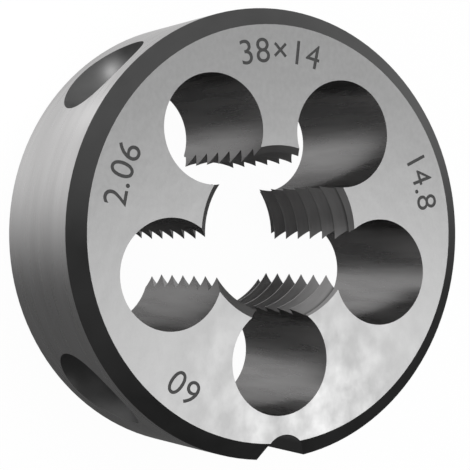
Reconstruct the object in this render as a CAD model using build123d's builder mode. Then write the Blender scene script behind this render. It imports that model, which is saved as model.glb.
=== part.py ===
"""Round threading die: one turned, drilled and threaded blank of tool steel.

Millimetres. +Z up, the back face on z = 0 and the front face up. The origin lies on the axis of
the bore, at the back face. One chip hole points along -Y, and the notch in the rim lies beside it.
"""

import os
from math import acos, ceil, cos, degrees, radians, sin, tan

from build123d import *

# Blank
blank_diameter = 38.0
blank_thickness = 14.0
rim_chamfer_width = 1.45
rim_chamfer_height = 0.90

# Thread in the bore: a shallow sharp V that winds left-handed, as the photographed one does.
# Above the X axis, the bottom of one groove lies at the height given here.
thread_crest_diameter = 13.14
thread_depth = 0.85
thread_pitch = 2.06
thread_crest_flat = 0.08
thread_is_left_handed = True
groove_height_at_x = 0.91

# Lead-in cone at each end of the thread. Its mouth is wider than the grooves by the margin.
lead_in_depth = 1.0
lead_in_margin = 0.04

# Chip holes, which open into the bore and leave the cutting edges of the lands
chip_hole_count = 5
chip_hole_diameter = 9.2
chip_hole_break_in = 0.52
first_chip_hole_angle = -90.0

# Notch in the rim, over the whole thickness
notch_angle = -88.4
notch_depth = 2.15
notch_flank_angle = 60.0
notch_root_radius = 1.97

# Recesses in the rim for the four screws of a die holder, ground with a ball-ended tool
screw_recess_count = 4
screw_recess_ball_radius = 4.5
screw_recess_depth = 3.4
first_screw_recess_angle = 134.1

# Sizes that follow from the ones above
blank_radius = blank_diameter / 2
crest_radius = thread_crest_diameter / 2
root_radius = crest_radius + thread_depth
mouth_radius = root_radius + lead_in_margin
chip_hole_radius = chip_hole_diameter / 2
chip_hole_circle_radius = crest_radius - chip_hole_break_in + chip_hole_radius
ball_centre_radius = blank_radius - screw_recess_depth + screw_recess_ball_radius

# The thread is cut one turn at a time. Each turn leaves a gap half as wide as the first chip hole's
# opening into the bore, so it starts and ends in the open, and the turns reach past both faces.
turn_direction = -1 if thread_is_left_handed else 1
chip_hole_opening_cosine = (
    (chip_hole_circle_radius**2 + crest_radius**2 - chip_hole_radius**2)
    / (2 * chip_hole_circle_radius * crest_radius)
)
turn_gap_angle = degrees(acos(chip_hole_opening_cosine))
turn_start_angle = first_chip_hole_angle + turn_direction * turn_gap_angle / 2
turn_rise = thread_pitch * (360 - turn_gap_angle) / 360
turns_below = 2
turn_count = ceil(blank_thickness / thread_pitch) + turns_below + 1
turns_before_start = turns_below - turn_direction * turn_start_angle / 360
first_turn_height = groove_height_at_x - turns_before_start * thread_pitch
turn_places = [
    Location((0, 0, first_turn_height + turn * thread_pitch), (0, 0, turn_start_angle))
    for turn in range(turn_count)
]

# The groove's profile: one V that runs a little past the bore's wall, and a stem into the open bore
groove_overcut = 0.025
groove_slope = (thread_pitch - thread_crest_flat) / 2 / thread_depth
groove_mouth_radius = crest_radius - groove_overcut
groove_half_mouth = (thread_depth + groove_overcut) * groove_slope
groove_stem_radius = crest_radius - thread_depth / 2

# The notch's profile, with x the direction away from the axis
notch_half_angle = radians(notch_flank_angle / 2)
notch_root_x = blank_radius - notch_depth
notch_tangent_x = notch_root_x + notch_root_radius * (1 - sin(notch_half_angle))
notch_tangent_y = notch_root_radius * cos(notch_half_angle)
notch_outer_x = blank_radius + notch_depth
notch_outer_y = notch_tangent_y + (notch_outer_x - notch_tangent_x) * tan(notch_half_angle)

with BuildPart() as thread_turn:
    with BuildLine() as turn_path:
        Helix(thread_pitch, turn_rise, crest_radius, lefthand=thread_is_left_handed)
    with BuildSketch(Plane.XZ):
        with BuildLine():
            Polyline(
                (groove_stem_radius, -groove_half_mouth),
                (groove_mouth_radius, -groove_half_mouth),
                (root_radius, 0),
                (groove_mouth_radius, groove_half_mouth),
                (groove_stem_radius, groove_half_mouth),
                close=True,
            )
        make_face()
    sweep(path=turn_path.line, is_frenet=True)

with BuildPart() as threading_die:
    # Turned blank with its bore: a cone on both rims, and a lead-in cone at both ends of the bore
    with BuildSketch(Plane.XZ):
        with BuildLine():
            Polyline(
                (mouth_radius, 0),
                (blank_radius - rim_chamfer_width, 0),
                (blank_radius, rim_chamfer_height),
                (blank_radius, blank_thickness - rim_chamfer_height),
                (blank_radius - rim_chamfer_width, blank_thickness),
                (mouth_radius, blank_thickness),
                (crest_radius, blank_thickness - lead_in_depth),
                (crest_radius, lead_in_depth),
                close=True,
            )
        make_face()
    revolve(axis=Axis.Z)

    # Thread
    with Locations(*turn_places):
        add(thread_turn.part, mode=Mode.SUBTRACT)

    # Chip holes
    with BuildSketch(Plane.XY):
        with PolarLocations(chip_hole_circle_radius, chip_hole_count, start_angle=first_chip_hole_angle):
            Circle(chip_hole_radius)
    extrude(amount=blank_thickness, mode=Mode.SUBTRACT)

    # Notch
    with BuildSketch(Plane.XY.rotated((0, 0, notch_angle))):
        with BuildLine():
            ThreePointArc(
                (notch_tangent_x, notch_tangent_y),
                (notch_root_x, 0),
                (notch_tangent_x, -notch_tangent_y),
            )
            Polyline(
                (notch_tangent_x, -notch_tangent_y),
                (notch_outer_x, -notch_outer_y),
                (notch_outer_x, notch_outer_y),
                (notch_tangent_x, notch_tangent_y),
            )
        make_face()
    extrude(amount=blank_thickness, mode=Mode.SUBTRACT)

    # Screw recesses at mid thickness. Each ball's own axis lies along the rim.
    with Locations((0, 0, blank_thickness / 2)):
        with PolarLocations(ball_centre_radius, screw_recess_count, start_angle=first_screw_recess_angle):
            Sphere(screw_recess_ball_radius, rotation=(90, 0, 0), mode=Mode.SUBTRACT)

threading_die.part.label = "threading_die"

os.makedirs("parts", exist_ok=True)
export_step(threading_die.part, "parts/threading_die.step")
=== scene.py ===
"""Round threading die of hardened tool steel, lying on its back face and seen from above.

Metres, in the frame of the CAD model: +Z up, the back face on the floor and the front face up.
The axis of the threaded bore is the Z axis, and one chip hole points along -Y.
"""

from math import cos, hypot, pi, radians, sin

import bmesh
import bpy
from mathutils import Matrix, Vector


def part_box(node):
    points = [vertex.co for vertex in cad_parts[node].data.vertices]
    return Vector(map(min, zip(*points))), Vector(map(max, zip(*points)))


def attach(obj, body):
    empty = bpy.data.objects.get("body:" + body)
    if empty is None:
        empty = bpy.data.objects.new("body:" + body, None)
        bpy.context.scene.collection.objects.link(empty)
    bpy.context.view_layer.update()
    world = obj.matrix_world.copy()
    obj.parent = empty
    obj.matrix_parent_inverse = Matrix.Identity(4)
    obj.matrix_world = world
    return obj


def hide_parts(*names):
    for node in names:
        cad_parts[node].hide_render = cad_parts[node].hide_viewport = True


MM = 0.001

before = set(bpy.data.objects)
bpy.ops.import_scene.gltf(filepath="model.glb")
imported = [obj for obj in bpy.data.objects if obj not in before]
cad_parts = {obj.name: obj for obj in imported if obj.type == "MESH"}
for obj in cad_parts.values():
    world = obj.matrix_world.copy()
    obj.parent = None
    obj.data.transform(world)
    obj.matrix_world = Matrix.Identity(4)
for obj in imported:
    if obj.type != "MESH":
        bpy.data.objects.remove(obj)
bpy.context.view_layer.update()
high_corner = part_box("threading_die")[1]

# Sizes of the die, by which its surfaces are told apart
THICKNESS = high_corner.z
BLANK_RADIUS = high_corner.x
CHAMFER_WIDTH = 1.45 * MM
CHAMFER_HEIGHT = 0.90 * MM
FACE_RADIUS = BLANK_RADIUS - CHAMFER_WIDTH
THREAD_REGION_RADIUS = 7.55 * MM
CHIP_HOLE_COUNT = 5
CHIP_HOLE_RADIUS = 4.6 * MM
CHIP_HOLE_CIRCLE_RADIUS = 10.65 * MM
CHIP_HOLE_START = radians(-90)
RECESS_COUNT = 4
RECESS_BALL_RADIUS = 4.5 * MM
RECESS_BALL_CIRCLE_RADIUS = 20.1 * MM
RECESS_START = radians(134.1)
SURFACE_MARGIN = 0.03 * MM

# A face is told by how much of its normal points up, or away from the axis
SQUARE_ON = 0.99
SLANTING = 0.5
SIDEWAYS = 0.02

# How the CAD mesh is joined up and shaded
MERGE_DISTANCE = 0.0005 * MM
FLAT_ANGLE = radians(0.05)
SHARP_ANGLE = radians(25)

# Size marks: the blank's diameter and thickness, the thread's large diameter and pitch, and the
# notch's angle. Each stands midway between two chip holes, at an angle in degrees, tops outwards.
MARKS = {"38×14": 90, "14.8": 18, "2.06": 162, "60": -126}
MARK_HEIGHT = 1.95 * MM
MARK_DEPTH = 0.03 * MM
MARK_BASE_RADIUS = 14.4 * MM
MARK_CUTTER_THICKNESS = 3 * MARK_DEPTH
MARK_WELD_DISTANCE = 0.0001 * MM

# A digit's height as a share of its font's size
DIGIT_SHARE = 0.663


def around(radius, count, start, height=0.0):
    """Points evenly spaced on a circle round the die's axis."""
    angles = [start + 2 * pi * step / count for step in range(count)]
    return [Vector((radius * cos(angle), radius * sin(angle), height)) for angle in angles]


CHIP_HOLE_CENTRES = around(CHIP_HOLE_CIRCLE_RADIUS, CHIP_HOLE_COUNT, CHIP_HOLE_START)
RECESS_CENTRES = around(RECESS_BALL_CIRCLE_RADIUS, RECESS_COUNT, RECESS_START, THICKNESS / 2)


# Node trees

# The sockets of a Mix node that hold its two colours and the mixed one
COLOUR_A = 6
COLOUR_B = 7
MIXED_COLOUR = 2

# Noise lies mostly between these two values, so a pattern goes from one end to the other there
NOISE_LOW = 0.3
NOISE_HIGH = 0.7
NOISE_RANGE = {"From Min": NOISE_LOW, "From Max": NOISE_HIGH}


def paint(code):
    """An sRGB hex colour as linear red, green, blue and alpha."""
    channels = [int(code[place : place + 2], 16) / 255 for place in (1, 3, 5)]
    linear = [c / 12.92 if c <= 0.04045 else ((c + 0.055) / 1.055) ** 2.4 for c in channels]
    return (*linear, 1.0)


def add(tree, kind, inputs=None, **settings):
    """One node with its settings. Each input is a value, or a socket to link from."""
    node = tree.nodes.new(kind)
    for name, value in settings.items():
        setattr(node, name, value)
    for name, value in (inputs or {}).items():
        if isinstance(value, bpy.types.NodeSocket):
            tree.links.new(value, node.inputs[name])
        else:
            node.inputs[name].default_value = value
    return node


def new_material(name):
    """A material with an empty node tree, and that tree."""
    material = bpy.data.materials.new(name)
    material.use_nodes = True
    material.node_tree.nodes.clear()
    return material, material.node_tree


def grain(tree, size, detail=2.0, seed=0.0):
    """Noise whose patches measure size along X, Y and Z, from 0 to 1."""
    place = add(tree, "ShaderNodeTexCoord").outputs["Object"]
    scaled = add(tree, "ShaderNodeMapping",
                 {"Vector": place, "Location": (seed, seed, seed), "Scale": [1 / s for s in size]})
    noise = add(tree, "ShaderNodeTexNoise",
                {"Vector": scaled.outputs[0], "Scale": 1.0, "Detail": detail, "Roughness": 0.5})
    return noise.outputs["Fac"]


def tint(tree, factor, low, high, start=NOISE_LOW, end=NOISE_HIGH):
    """A colour that goes from low to high as the factor goes from start to end."""
    share = add(tree, "ShaderNodeMapRange", {"Value": factor, "From Min": start, "From Max": end})
    mixed = add(tree, "ShaderNodeMix",
                {"Factor": share.outputs[0], COLOUR_A: paint(low), COLOUR_B: paint(high)},
                data_type="RGBA")
    return mixed.outputs[MIXED_COLOUR]


def close(material, tree, inputs):
    """The material, with a Principled shader that has these inputs."""
    shader = add(tree, "ShaderNodeBsdfPrincipled", inputs)
    add(tree, "ShaderNodeOutputMaterial", {"Surface": shader.outputs["BSDF"]})
    return material


# Finishes

# Painted sheen on the front face beside the notch, where a highlight falls: its middle, the distances
# over which it fades out, and how much brighter the painted highlight makes its middle, which fades out
# sooner
PAINTED_SHEEN_PLACE = Vector((3.0, -16.0, 14.0)) * MM
PAINTED_SHEEN_FADE = (3.0 * MM, 17.0 * MM)
PAINTED_HIGHLIGHT = 0.11
PAINTED_HIGHLIGHT_FADE = (2.0 * MM, 6.0 * MM)

# Painted shade in the bottoms of the thread's grooves: the radii between which it sets in, and its reach
# from mid thickness
PAINTED_SHADE_RADIUS = 7.2 * MM
ROOT_RADIUS = 7.42 * MM
PAINTED_SHADE_REACH = 6.6 * MM
PAINTED_SHADE_FADE = 0.05 * MM

# Each stain of a tempered surface is rougher or smoother than the whole by up to this
TEMPERED_SPREAD = 0.03


def ground_steel():
    """High-speed steel, hardened and surface-ground: bright satin, with cloudy tone and a painted sheen
    and highlight by the notch.
    """
    material, tree = new_material("ground_high_speed_steel")
    # The wheel's grit leaves finer marks, which are drawn as coarse as it takes to show them
    grit = grain(tree, (0.35 * MM, 0.5 * MM, 0.5 * MM))
    clouds = grain(tree, (1.9 * MM, 2.6 * MM, 2.6 * MM), detail=3.0, seed=5.0)
    place = add(tree, "ShaderNodeTexCoord").outputs["Object"]
    # Painted sheen and highlight: near one spot beside the notch the colour grows brighter and more
    # mottled, where a highlight falls
    away = add(tree, "ShaderNodeVectorMath", {0: place, 1: PAINTED_SHEEN_PLACE}, operation="DISTANCE")
    painted_sheen = add(tree, "ShaderNodeMapRange", {
        "Value": away.outputs["Value"],
        "From Min": PAINTED_SHEEN_FADE[0],
        "From Max": PAINTED_SHEEN_FADE[1],
        "To Min": 1.0,
        "To Max": 0.0,
    })
    painted_highlight = add(tree, "ShaderNodeMapRange", {
        "Value": away.outputs["Value"],
        "From Min": PAINTED_HIGHLIGHT_FADE[0],
        "From Max": PAINTED_HIGHLIGHT_FADE[1],
        "To Min": PAINTED_HIGHLIGHT,
        "To Max": 0.0,
    })
    clouds_and_highlight = add(tree, "ShaderNodeMath", {0: clouds, 1: painted_highlight.outputs[0]}, operation="ADD")
    mixed = add(tree, "ShaderNodeMix", {
        "Factor": painted_sheen.outputs[0],
        COLOUR_A: tint(tree, grit, "#b7b7b7", "#bdbdbd"),
        COLOUR_B: tint(tree, clouds_and_highlight.outputs[0], "#b0b0b0", "#dcdcdc", start=0.38, end=0.78),
    }, data_type="RGBA")
    rough = add(tree, "ShaderNodeMapRange",
                {"Value": grit, **NOISE_RANGE, "To Min": 0.28, "To Max": 0.32})
    bump = add(tree, "ShaderNodeBump", {"Height": clouds, "Distance": 0.02 * MM, "Strength": 1.0})
    across = add(tree, "ShaderNodeCombineXYZ", {"X": 1.0})
    return close(material, tree, {
        "Base Color": mixed.outputs[MIXED_COLOUR],
        "Metallic": 1.0,
        "Roughness": rough.outputs[0],
        "Anisotropic": 0.3,
        "Tangent": across.outputs[0],
        "Normal": bump.outputs[0],
    })


def turned_steel():
    """The rim, cylindrically ground: satin, with fine lines round the blank."""
    material, tree = new_material("cylindrically_ground_steel")
    # The real lines lie closer together, and are drawn as coarse as it takes to show them
    lines = grain(tree, (9.0 * MM, 9.0 * MM, 0.14 * MM))
    bands = grain(tree, (12.0 * MM, 12.0 * MM, 1.6 * MM), detail=1.0, seed=3.0)
    rough = add(tree, "ShaderNodeMapRange",
                {"Value": lines, **NOISE_RANGE, "To Min": 0.26, "To Max": 0.36})
    bump = add(tree, "ShaderNodeBump", {"Height": lines, "Distance": 0.0012 * MM, "Strength": 1.0})
    round_axis = add(tree, "ShaderNodeTangent", direction_type="RADIAL", axis="Z")
    return close(material, tree, {
        "Base Color": tint(tree, bands, "#d1d0d0", "#dad9d9"),
        "Metallic": 1.0,
        "Specular Tint": paint("#c0c0c0"),
        "Roughness": rough.outputs[0],
        "Anisotropic": 0.55,
        "Anisotropic Rotation": 0.25,
        "Tangent": round_axis.outputs[0],
        "Normal": bump.outputs[0],
    })


def tempered_steel(name, colours, roughness, stain_size, metallic=1.0, depth=0.002 * MM,
                   edge_colour="#ffffff"):
    """Steel left dark by tempering, as it comes from the furnace: smooth, with faint stains."""
    material, tree = new_material(name)
    stains = grain(tree, stain_size, seed=7.0)
    rough = add(tree, "ShaderNodeMapRange", {
        "Value": stains,
        **NOISE_RANGE,
        "To Min": roughness - TEMPERED_SPREAD,
        "To Max": roughness + TEMPERED_SPREAD,
    })
    bump = add(tree, "ShaderNodeBump", {"Height": stains, "Distance": depth, "Strength": 1.0})
    return close(material, tree, {
        "Base Color": tint(tree, stains, *colours),
        "Metallic": metallic,
        "Specular Tint": paint(edge_colour),
        "Roughness": rough.outputs[0],
        "Normal": bump.outputs[0],
    })


def threaded_steel():
    """The thread: tempered dark, with painted shade, near black, in the bottoms of the grooves."""
    material, tree = new_material("tempered_thread")
    stains = grain(tree, (2.0 * MM, 2.0 * MM, 0.3 * MM), seed=7.0)
    place = add(tree, "ShaderNodeTexCoord").outputs["Object"]
    flat = add(tree, "ShaderNodeVectorMath", {0: place, 1: (1.0, 1.0, 0.0)}, operation="MULTIPLY")
    radius = add(tree, "ShaderNodeVectorMath", {0: flat.outputs[0]}, operation="LENGTH")
    deep = add(tree, "ShaderNodeMapRange", {
        "Value": radius.outputs["Value"],
        "From Min": PAINTED_SHADE_RADIUS,
        "From Max": ROOT_RADIUS,
    })
    height = add(tree, "ShaderNodeSeparateXYZ", {0: place}).outputs["Z"]
    off_middle = add(tree, "ShaderNodeMath", {0: height, 1: -THICKNESS / 2}, operation="ADD")
    reach = add(tree, "ShaderNodeMath", {0: off_middle.outputs[0]}, operation="ABSOLUTE")
    inside = add(tree, "ShaderNodeMapRange", {
        "Value": reach.outputs[0],
        "From Min": PAINTED_SHADE_REACH,
        "From Max": PAINTED_SHADE_REACH + PAINTED_SHADE_FADE,
        "To Min": 1.0,
        "To Max": 0.0,
    })
    # Painted shade: the bottoms of the grooves are coloured near black, except close to the two faces
    painted_shade = add(tree, "ShaderNodeMath", {0: deep.outputs[0], 1: inside.outputs[0]},
                operation="MULTIPLY")
    mixed = add(tree, "ShaderNodeMix", {
        "Factor": painted_shade.outputs[0],
        COLOUR_A: tint(tree, stains, "#8a8989", "#929191"),
        COLOUR_B: paint("#2c2c2c"),
    }, data_type="RGBA")
    rough = add(tree, "ShaderNodeMapRange",
                {"Value": stains, **NOISE_RANGE, "To Min": 0.31, "To Max": 0.35})
    bump = add(tree, "ShaderNodeBump", {"Height": stains, "Distance": 0.002 * MM, "Strength": 1.0})
    return close(material, tree, {
        "Base Color": mixed.outputs[MIXED_COLOUR],
        "Metallic": 0.85,
        "Roughness": rough.outputs[0],
        "Normal": bump.outputs[0],
    })


def etched_steel():
    """Size marks etched by laser: dull dark grey."""
    material, tree = new_material("laser_etched_steel")
    grit = grain(tree, (0.15 * MM, 0.15 * MM, 0.15 * MM), detail=1.0)
    return close(material, tree, {
        "Base Color": tint(tree, grit, "#4a4a4a", "#545454"),
        "Metallic": 0.5,
        "Roughness": 0.6,
    })


FINISHES = {
    "ground": ground_steel(),
    "rim": turned_steel(),
    # A dull dark grey band between the bright face and the bright rim
    "chamfer": tempered_steel(
        "tempered_chamfer",
        colours=("#4c4c4c", "#525252"),
        roughness=0.4,
        stain_size=(3.0 * MM, 3.0 * MM, 3.0 * MM),
    ),
    # Smooth and fairly glossy, with the reamer's fine streaks along the hole
    "chip_hole": tempered_steel(
        "tempered_reamed_hole",
        colours=("#8d8c8c", "#9c9b9b"),
        roughness=0.28,
        stain_size=(0.9 * MM, 0.9 * MM, 9.0 * MM),
        metallic=0.88,
        depth=0.015 * MM,
        edge_colour="#808080",
    ),
    "thread": threaded_steel(),
    # Dull dark grey, so that the hollow reads as one soft shade
    "recess": tempered_steel(
        "tempered_recess",
        colours=("#565656", "#5e5e5e"),
        roughness=0.43,
        stain_size=(2.0 * MM, 2.0 * MM, 2.0 * MM),
        metallic=0.82,
    ),
    # Darker and smoother than the recesses
    "notch": tempered_steel(
        "tempered_notch",
        colours=("#464646", "#4e4e4e"),
        roughness=0.3,
        stain_size=(2.0 * MM, 2.0 * MM, 2.0 * MM),
    ),
    "mark": etched_steel(),
}
FINISH_ORDER = list(FINISHES)


# Size marks, cut as shallow pockets

def mark_tree():
    """Geometry nodes that stand a text on a circle round Z, tops outwards, and thicken it."""
    tree = bpy.data.node_groups.new("size_mark", "GeometryNodeTree")
    inputs = {
        "Text": "NodeSocketString",
        "Size": "NodeSocketFloat",
        "Base Radius": "NodeSocketFloat",
        "Middle Angle": "NodeSocketFloat",
        "Floor Height": "NodeSocketFloat",
        "Thickness": "NodeSocketFloat",
        "Material": "NodeSocketMaterial",
    }
    for name, kind in inputs.items():
        tree.interface.new_socket(name, in_out="INPUT", socket_type=kind)
    tree.interface.new_socket("Geometry", in_out="OUTPUT", socket_type="NodeSocketGeometry")
    given = add(tree, "NodeGroupInput").outputs

    text = add(tree, "GeometryNodeStringToCurves", {"String": given["Text"], "Size": given["Size"]},
               align_x="CENTER", pivot_mode="BOTTOM_CENTER")
    place = add(tree, "ShaderNodeSeparateXYZ", {0: add(tree, "GeometryNodeInputPosition").outputs[0]})
    pivot = add(tree, "ShaderNodeSeparateXYZ", {0: text.outputs["Pivot Point"]})
    middle = add(tree, "ShaderNodeMath", {0: place.outputs["X"], 1: pivot.outputs["X"]}, operation="ADD")
    turned = add(tree, "ShaderNodeMath", {0: middle.outputs[0], 1: given["Base Radius"]},
                 operation="DIVIDE")
    angle = add(tree, "ShaderNodeMath", {0: given["Middle Angle"], 1: turned.outputs[0]},
                operation="SUBTRACT")
    kept = add(tree, "GeometryNodeCaptureAttribute", {"Geometry": text.outputs["Curve Instances"]},
               domain="INSTANCE")
    kept.capture_items.new("FLOAT", "Angle")
    tree.links.new(angle.outputs[0], kept.inputs["Angle"])
    angle = kept.outputs["Angle"]
    cosine = add(tree, "ShaderNodeMath", {0: angle}, operation="COSINE")
    sine = add(tree, "ShaderNodeMath", {0: angle}, operation="SINE")
    outward = add(tree, "ShaderNodeCombineXYZ", {"X": cosine.outputs[0], "Y": sine.outputs[0]})
    centre = add(tree, "ShaderNodeVectorMath", {0: outward.outputs[0], "Scale": given["Base Radius"]},
                 operation="SCALE")
    half_width = add(tree, "ShaderNodeCombineXYZ", {"X": pivot.outputs["X"]})
    start = add(tree, "ShaderNodeVectorMath", {0: centre.outputs[0], 1: half_width.outputs[0]},
                operation="SUBTRACT")
    moved = add(tree, "GeometryNodeSetPosition",
                {"Geometry": kept.outputs["Geometry"], "Position": start.outputs[0]})
    turn = add(tree, "ShaderNodeMath", {0: angle, 1: pi / 2}, operation="SUBTRACT")
    lean = add(tree, "ShaderNodeCombineXYZ", {"Z": turn.outputs[0]})
    stood = add(tree, "GeometryNodeRotateInstances", {
        "Instances": moved.outputs[0],
        "Rotation": lean.outputs[0],
        "Pivot Point": half_width.outputs[0],
    })
    joined = add(tree, "GeometryNodeRealizeInstances", {"Geometry": stood.outputs[0]})
    filled = add(tree, "GeometryNodeFillCurve", {"Curve": joined.outputs[0]})
    upward = add(tree, "ShaderNodeCombineXYZ", {"Z": given["Thickness"]})
    raised = add(tree, "GeometryNodeExtrudeMesh",
                 {"Mesh": filled.outputs[0], "Offset": upward.outputs[0], "Individual": False})
    under = add(tree, "GeometryNodeFlipFaces", {"Mesh": filled.outputs[0]})
    both = add(tree, "GeometryNodeJoinGeometry")
    tree.links.new(raised.outputs[0], both.inputs[0])
    tree.links.new(under.outputs[0], both.inputs[0])
    closed = add(tree, "GeometryNodeMergeByDistance",
                 {"Geometry": both.outputs[0], "Distance": MARK_WELD_DISTANCE})
    height = add(tree, "ShaderNodeCombineXYZ", {"Z": given["Floor Height"]})
    lifted = add(tree, "GeometryNodeTransform",
                 {"Geometry": closed.outputs[0], "Translation": height.outputs[0]})
    real = add(tree, "GeometryNodeRealizeInstances", {"Geometry": lifted.outputs[0]})
    dressed = add(tree, "GeometryNodeSetMaterial",
                  {"Geometry": real.outputs[0], "Material": given["Material"]})
    add(tree, "NodeGroupOutput", {"Geometry": dressed.outputs[0]})
    return tree


def plain_mesh(thing):
    """The object's mesh with its modifiers applied."""
    bpy.context.view_layer.update()
    graph = bpy.context.evaluated_depsgraph_get()
    return bpy.data.meshes.new_from_object(thing.evaluated_get(graph), depsgraph=graph)


def cut_marks():
    """One cutter for all the size marks."""
    tree = mark_tree()
    sockets = {item.name: item.identifier for item in tree.interface.items_tree
               if item.in_out == "INPUT"}
    form = bmesh.new()
    for text, angle in MARKS.items():
        holder = bpy.data.objects.new("mark_maker", bpy.data.meshes.new("mark_maker"))
        bpy.context.scene.collection.objects.link(holder)
        maker = holder.modifiers.new("marks", "NODES")
        maker.node_group = tree
        values = {
            "Text": text,
            "Size": MARK_HEIGHT / DIGIT_SHARE,
            "Base Radius": MARK_BASE_RADIUS,
            "Middle Angle": radians(angle),
            "Floor Height": THICKNESS - MARK_DEPTH,
            "Thickness": MARK_CUTTER_THICKNESS,
            "Material": FINISHES["mark"],
        }
        for name, value in values.items():
            maker[sockets[name]] = value
        form.from_mesh(plain_mesh(holder))
        bpy.data.objects.remove(holder)
    mesh = bpy.data.meshes.new("size_marks")
    bmesh.ops.recalc_face_normals(form, faces=form.faces)
    # The modifier leaves its material in a second slot, and the cutter has one slot
    for face in form.faces:
        face.material_index = 0
    form.to_mesh(mesh)
    form.free()
    mesh.materials.append(FINISHES["mark"])
    cutter = bpy.data.objects.new("size_marks", mesh)
    bpy.context.scene.collection.objects.link(cutter)
    return cutter


# The die

def finish_of(face):
    """Which of the die's surfaces a face of its mesh lies on."""
    centre = face.calc_center_median()
    radius = hypot(centre.x, centre.y)
    outward = (face.normal.x * centre.x + face.normal.y * centre.y) / radius
    upright = abs(face.normal.z)
    if min(abs(centre.z), abs(centre.z - THICKNESS)) < SURFACE_MARGIN and upright > SQUARE_ON:
        return "ground"
    for hole in CHIP_HOLE_CENTRES:
        reach = hypot(centre.x - hole.x, centre.y - hole.y)
        if abs(reach - CHIP_HOLE_RADIUS) < SURFACE_MARGIN and upright < SIDEWAYS:
            return "chip_hole"
    if radius < THREAD_REGION_RADIUS:
        return "thread"
    if abs(radius - BLANK_RADIUS) < SURFACE_MARGIN and outward > SQUARE_ON:
        return "rim"
    if any(abs((centre - ball).length - RECESS_BALL_RADIUS) < SURFACE_MARGIN for ball in RECESS_CENTRES):
        return "recess"
    if radius > FACE_RADIUS and upright > SLANTING:
        return "chamfer"
    return "notch"


def true_normal(kind, place, normal):
    """The exact normal of a surface at a point near it. The normal passed in tells its side."""
    outward = Vector((place.x, place.y, 0)).normalized()
    side = 1 if normal.z > 0 else -1
    if kind in ("ground", "mark") and abs(normal.z) > SQUARE_ON:
        return Vector((0, 0, side))
    if kind == "rim":
        return outward
    if kind == "chamfer":
        return (outward * CHAMFER_HEIGHT + Vector((0, 0, side * CHAMFER_WIDTH))).normalized()
    if kind == "chip_hole":
        hole = min(CHIP_HOLE_CENTRES, key=lambda centre: (centre.xy - place.xy).length)
        return Vector((hole.x - place.x, hole.y - place.y, 0)).normalized()
    if kind == "recess":
        ball = min(RECESS_CENTRES, key=lambda centre: (centre - place).length)
        return (ball - place).normalized()
    return None


def set_normals(mesh):
    """Exact normals on the turned, drilled and ground surfaces, and the mesh's own elsewhere."""
    if "custom_normal" in mesh.attributes:
        mesh.attributes.remove(mesh.attributes["custom_normal"])
    mesh.set_sharp_from_angle(angle=SHARP_ANGLE)
    kinds = {material.name: kind for kind, material in FINISHES.items()}
    normals = [corner.vector.copy() for corner in mesh.corner_normals]
    for face in mesh.polygons:
        kind = kinds[mesh.materials[face.material_index].name]
        for loop in face.loop_indices:
            place = mesh.vertices[mesh.loops[loop].vertex_index].co
            exact = true_normal(kind, place, face.normal)
            if exact is not None:
                normals[loop] = exact
    mesh.normals_split_custom_set(normals)


def build_die():
    """The CAD solid with its finishes, its size marks and exact normals."""
    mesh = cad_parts["threading_die"].data.copy()
    mesh.name = "die_body"
    mesh.materials.clear()
    for finish in FINISH_ORDER:
        mesh.materials.append(FINISHES[finish])
    form = bmesh.new()
    form.from_mesh(mesh)
    bmesh.ops.remove_doubles(form, verts=form.verts, dist=MERGE_DISTANCE)
    bmesh.ops.dissolve_limit(form, angle_limit=FLAT_ANGLE, verts=form.verts, edges=form.edges)
    for face in form.faces:
        face.smooth = True
        face.material_index = FINISH_ORDER.index(finish_of(face))
    form.to_mesh(mesh)
    form.free()
    die = bpy.data.objects.new("die_body", mesh)
    bpy.context.scene.collection.objects.link(die)

    marks = cut_marks()
    pockets = die.modifiers.new("pockets", "BOOLEAN")
    pockets.operation = "DIFFERENCE"
    pockets.solver = "EXACT"
    pockets.material_mode = "TRANSFER"
    pockets.object = marks
    marked = plain_mesh(die)
    die.modifiers.clear()
    bpy.data.objects.remove(marks)
    die.data = marked
    set_normals(marked)

    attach(die, "root")
    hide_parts("threading_die")


build_die()


# The camera, whose place, aim and lens come from a fit of the die's edges in the photograph

CAMERA_PLACE = Vector((-65.366, -0.575, 123.630)) * MM
CAMERA_AIM = Vector((0.508929, -0.001293, -0.860808))
FOCAL_LENGTH_PIXELS = 1522.9
PICTURE_WIDTH = 470
OPTICAL_CENTRE_PIXELS = (274.74, 242.89)
SENSOR_WIDTH = 36.0
NEAREST_SEEN = 0.01


def place_camera():
    """A camera as in the photograph, whose picture is cut from a wider one, off its centre."""
    data = bpy.data.cameras.new("camera")
    data.sensor_width = SENSOR_WIDTH
    data.lens = FOCAL_LENGTH_PIXELS / PICTURE_WIDTH * SENSOR_WIDTH
    data.shift_x = 0.5 - OPTICAL_CENTRE_PIXELS[0] / PICTURE_WIDTH
    data.shift_y = OPTICAL_CENTRE_PIXELS[1] / PICTURE_WIDTH - 0.5
    data.clip_start = NEAREST_SEEN
    camera = bpy.data.objects.new("camera", data)
    bpy.context.scene.collection.objects.link(camera)
    across = CAMERA_AIM.cross(Vector((0, 1, 0))).normalized()
    turn = Matrix((across, across.cross(CAMERA_AIM), -CAMERA_AIM)).transposed()
    camera.matrix_world = Matrix.Translation(CAMERA_PLACE) @ turn.to_4x4()
    bpy.context.scene.camera = camera


place_camera()


# The floor

FLOOR_SIZE = 4.0
WHITE_SHARE = 0.97


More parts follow.
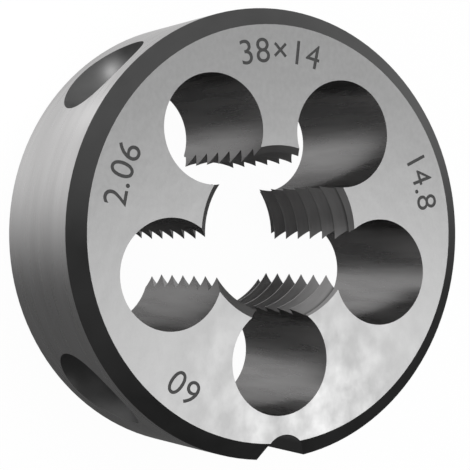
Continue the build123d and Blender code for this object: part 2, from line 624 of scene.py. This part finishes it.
def white_paper():
    """The floor: matt paper, which the camera sees as white as a light table, with a faint shadow."""
    material, tree = new_material("white_paper")
    seen = add(tree, "ShaderNodeLightPath").outputs
    share = add(tree, "ShaderNodeMath", {0: seen["Is Camera Ray"], 1: WHITE_SHARE}, operation="MULTIPLY")
    matt = add(tree, "ShaderNodeBsdfDiffuse", {"Color": paint("#f2f2f2")})
    white = add(tree, "ShaderNodeEmission", {"Color": paint("#ffffff"), "Strength": 1.0})
    mixed = add(tree, "ShaderNodeMixShader",
                {"Fac": share.outputs[0], 1: matt.outputs[0], 2: white.outputs[0]})
    add(tree, "ShaderNodeOutputMaterial", {"Surface": mixed.outputs[0]})
    return material


def lay_floor():
    """The die lies on a glass table: reflections look through the floor at the white backdrop below."""
    mesh = bpy.data.meshes.new("floor")
    form = bmesh.new()
    bmesh.ops.create_grid(form, x_segments=1, y_segments=1, size=FLOOR_SIZE / 2)
    form.to_mesh(mesh)
    form.free()
    mesh.materials.append(white_paper())
    floor = bpy.data.objects.new("floor", mesh)
    floor.visible_glossy = False
    floor.visible_transmission = False
    bpy.context.scene.collection.objects.link(floor)


# The studio: a white world, a graded dark cloth round the die, and lamps

# The cloth is clear on its bright side, which is an azimuth and an elevation in degrees. It grows
# dark away from there, and a thin veil lies over the middle of the clear part. Each sets in between
# two cosines of the angle to the bright side.
CLOTH_RADIUS = 1.5
CLOTH_SEGMENTS = 48
CLOTH_BRIGHT_SIDE = (92, -4)
CLOTH_DARK_SHARE = 0.87
CLOTH_FADE = (-0.17, 0.42)
CLOTH_VEIL_SHARE = 0.06
CLOTH_VEIL = (0.34, 0.44)


def toward(azimuth, elevation):
    """Unit vector in a direction given in degrees, with the azimuth counted from +X to +Y."""
    turn, rise = radians(azimuth), radians(elevation)
    return Vector((cos(turn) * cos(rise), sin(turn) * cos(rise), sin(rise)))


def light_world():
    """A world as white as paper."""
    world = bpy.data.worlds.new("studio")
    world.use_nodes = True
    tree = world.node_tree
    tree.nodes.clear()
    back = add(tree, "ShaderNodeBackground", {"Color": paint("#ffffff"), "Strength": 1.0})
    add(tree, "ShaderNodeOutputWorld", {"Surface": back.outputs[0]})
    bpy.context.scene.world = world


def graded_cloth():
    """Thin cloth, nearly clear on its bright side, that goes softly to near black on the other."""
    material, tree = new_material("graded_cloth")
    place = add(tree, "ShaderNodeTexCoord").outputs["Object"]
    bright_side = toward(*CLOTH_BRIGHT_SIDE) / CLOTH_RADIUS
    nearness = add(tree, "ShaderNodeVectorMath", {0: place, 1: bright_side}, operation="DOT_PRODUCT")
    fading = add(tree, "ShaderNodeMapRange", {
        "Value": nearness.outputs["Value"],
        "From Min": CLOTH_FADE[0],
        "From Max": CLOTH_FADE[1],
        "To Min": CLOTH_DARK_SHARE,
        "To Max": 0.0,
    }, interpolation_type="SMOOTHSTEP")
    veil = add(tree, "ShaderNodeMapRange", {
        "Value": nearness.outputs["Value"],
        "From Min": CLOTH_VEIL[0],
        "From Max": CLOTH_VEIL[1],
        "To Min": 0.0,
        "To Max": CLOTH_VEIL_SHARE,
    }, interpolation_type="SMOOTHSTEP")
    dark = add(tree, "ShaderNodeMath", {0: fading.outputs[0], 1: veil.outputs[0]}, operation="ADD")
    clear = add(tree, "ShaderNodeBsdfTransparent", {"Color": paint("#ffffff")})
    black = add(tree, "ShaderNodeBsdfDiffuse", {"Color": paint("#101010")})
    mixed = add(tree, "ShaderNodeMixShader",
                {"Fac": dark.outputs[0], 1: clear.outputs[0], 2: black.outputs[0]})
    add(tree, "ShaderNodeOutputMaterial", {"Surface": mixed.outputs[0]})
    return material


def hang_cloth():
    """The cloth as a ball round the scene. The camera doesn't see it, and the metal mirrors it."""
    mesh = bpy.data.meshes.new("studio_cloth")
    form = bmesh.new()
    bmesh.ops.create_uvsphere(form, u_segments=CLOTH_SEGMENTS, v_segments=CLOTH_SEGMENTS // 2,
                              radius=CLOTH_RADIUS)
    form.to_mesh(mesh)
    form.free()
    mesh.materials.append(graded_cloth())
    cloth = bpy.data.objects.new("studio_cloth", mesh)
    cloth.visible_camera = False
    bpy.context.scene.collection.objects.link(cloth)


def soft_box(name, azimuth, elevation, size, brightness, distance=1.0,
             target=Vector((0, 0, 0)), mirrored=True):
    """A round area lamp that faces its target. At brightness 1 it looks as white as paper."""
    data = bpy.data.lights.new(name, "AREA")
    data.shape = "DISK"
    data.size = size
    data.energy = brightness * pi * (pi / 4 * size**2)
    lamp = bpy.data.objects.new(name, data)
    away = toward(azimuth, elevation)
    facing = away.to_track_quat("Z", "Y").to_matrix().to_4x4()
    lamp.matrix_world = Matrix.Translation(target + away * distance) @ facing
    lamp.visible_camera = False
    lamp.visible_glossy = mirrored
    bpy.context.scene.collection.objects.link(lamp)


lay_floor()
light_world()
hang_cloth()
# A small lamp beside one screw recess, lower than the front face, makes the bright spot in it
soft_box("near_box", azimuth=160, elevation=15, size=5.4 * MM, brightness=18.0,
         distance=12 * MM, target=RECESS_CENTRES[0])
soft_box("side_box", azimuth=220, elevation=40, size=0.7, brightness=0.22)
soft_box("face_box", azimuth=-35, elevation=55, size=0.85, brightness=1.09)
soft_box("lower_box", azimuth=-14, elevation=53, size=0.45, brightness=0.4)
soft_box("fill_box", azimuth=107, elevation=80, size=1.0, brightness=1.6, mirrored=False)

bpy.context.scene.view_settings.view_transform = "Standard"
